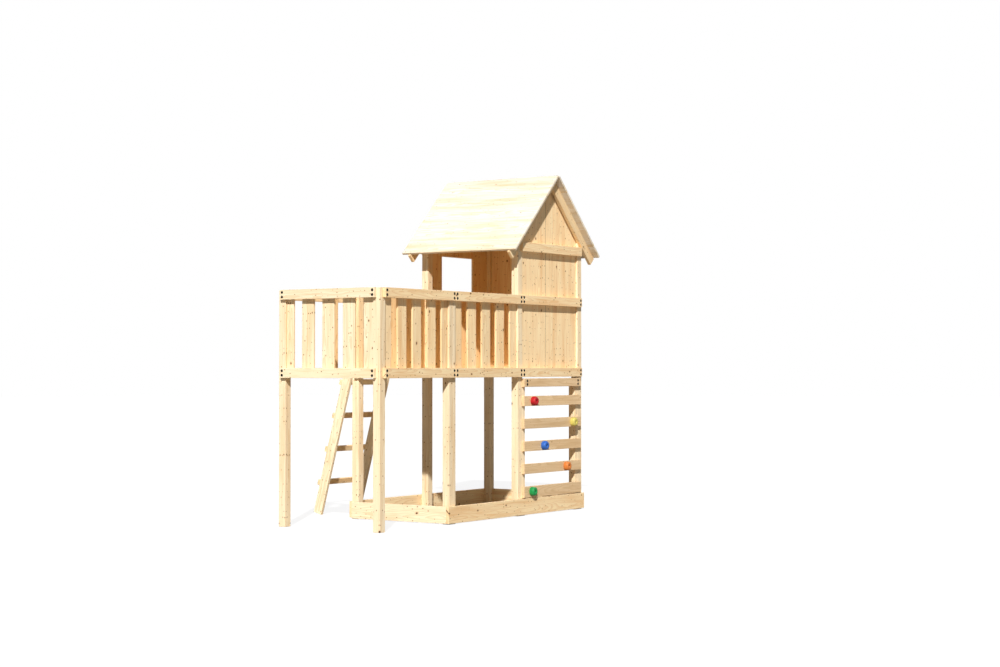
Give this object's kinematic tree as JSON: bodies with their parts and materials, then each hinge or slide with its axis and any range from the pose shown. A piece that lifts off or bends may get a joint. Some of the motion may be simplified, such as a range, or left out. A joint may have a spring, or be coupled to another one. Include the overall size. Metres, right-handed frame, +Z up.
{
  "type": "stilt playhouse",
  "caption": "Wooden play tower on stilts with a railed deck, a gabled hut, a sandbox frame, a climbing wall with coloured grips and a leaning ladder.",
  "frame": {"origin": "centre of the tower's bounding box, on the ground", "axes": "+X along the three bays towards the hut, +Y across the tower towards the ladder side, +Z up"},
  "size_m": [3.0588, 1.619, 2.863],
  "materials": {
    "blue_grip": "moulded plastic, slightly glossy",
    "climbing_boards": "planed spruce, matt, untreated",
    "deck_boards": "planed spruce, matt, untreated",
    "railing_slats": "planed spruce, matt, untreated",
    "rail_timber": "planed spruce, matt, untreated",
    "wall_boards": "planed spruce, matt, untreated",
    "post_timber": "planed spruce, matt, untreated",
    "green_grip": "moulded plastic, slightly glossy",
    "ladder_timber": "planed spruce, matt, untreated",
    "roof_boards": "planed spruce, matt, untreated",
    "orange_grip": "moulded plastic, slightly glossy",
    "red_grip": "moulded plastic, slightly glossy",
    "sandbox_boards": "planed spruce, matt, untreated",
    "yellow_grip": "moulded plastic, slightly glossy"
  },
  "bodies": {
    "root": {"blue_grip": "blue_grip", "climbing_board_1": "climbing_boards", "climbing_board_2": "climbing_boards", "climbing_board_3": "climbing_boards", "climbing_board_4": "climbing_boards", "climbing_board_5": "climbing_boards", "climbing_crosspiece": "climbing_boards", "climbing_left_batten": "climbing_boards", "climbing_right_batten": "climbing_boards", "deck": "deck_boards", "entry_railing": "railing_slats", "far_collar": "rail_timber", "far_gable_wall": "wall_boards", "far_left_rafter": "rail_timber", "far_lower_rail": "rail_timber", "far_post_1": "post_timber", "far_post_2": "post_timber", "far_post_3": "post_timber", "far_post_4": "post_timber", "far_railing": "railing_slats", "far_right_rafter": "rail_timber", "far_upper_rail": "rail_timber", "green_grip": "green_grip", "ladder_left_stile": "ladder_timber", "ladder_right_stile": "ladder_timber", "ladder_rung_1": "ladder_timber", "ladder_rung_2": "ladder_timber", "ladder_rung_3": "ladder_timber", "ladder_rung_4": "ladder_timber", "left_lower_rail": "rail_timber", "left_railing": "railing_slats", "left_roof_slope": "roof_boards", "left_upper_rail": "rail_timber", "near_collar": "rail_timber", "near_gable_wall": "wall_boards", "near_left_rafter": "rail_timber", "near_lower_rail_1": "rail_timber", "near_lower_rail_2": "rail_timber", "near_lower_rail_3": "rail_timber", "near_post_1": "post_timber", "near_post_2": "post_timber", "near_post_3": "post_timber", "near_post_4": "post_timber", "near_railing_1": "railing_slats", "near_railing_2": "railing_slats", "near_right_rafter": "rail_timber", "near_upper_rail_1": "rail_timber", "near_upper_rail_2": "rail_timber", "near_upper_rail_3": "rail_timber", "orange_grip": "orange_grip", "red_grip": "red_grip", "right_lower_rail": "rail_timber", "right_roof_slope": "roof_boards", "right_upper_rail": "rail_timber", "right_wall": "wall_boards", "sandbox_far_board": "sandbox_boards", "sandbox_left_board": "sandbox_boards", "sandbox_near_board": "sandbox_boards", "sandbox_right_board": "sandbox_boards", "yellow_grip": "yellow_grip"}
  },
  "joints": []
}
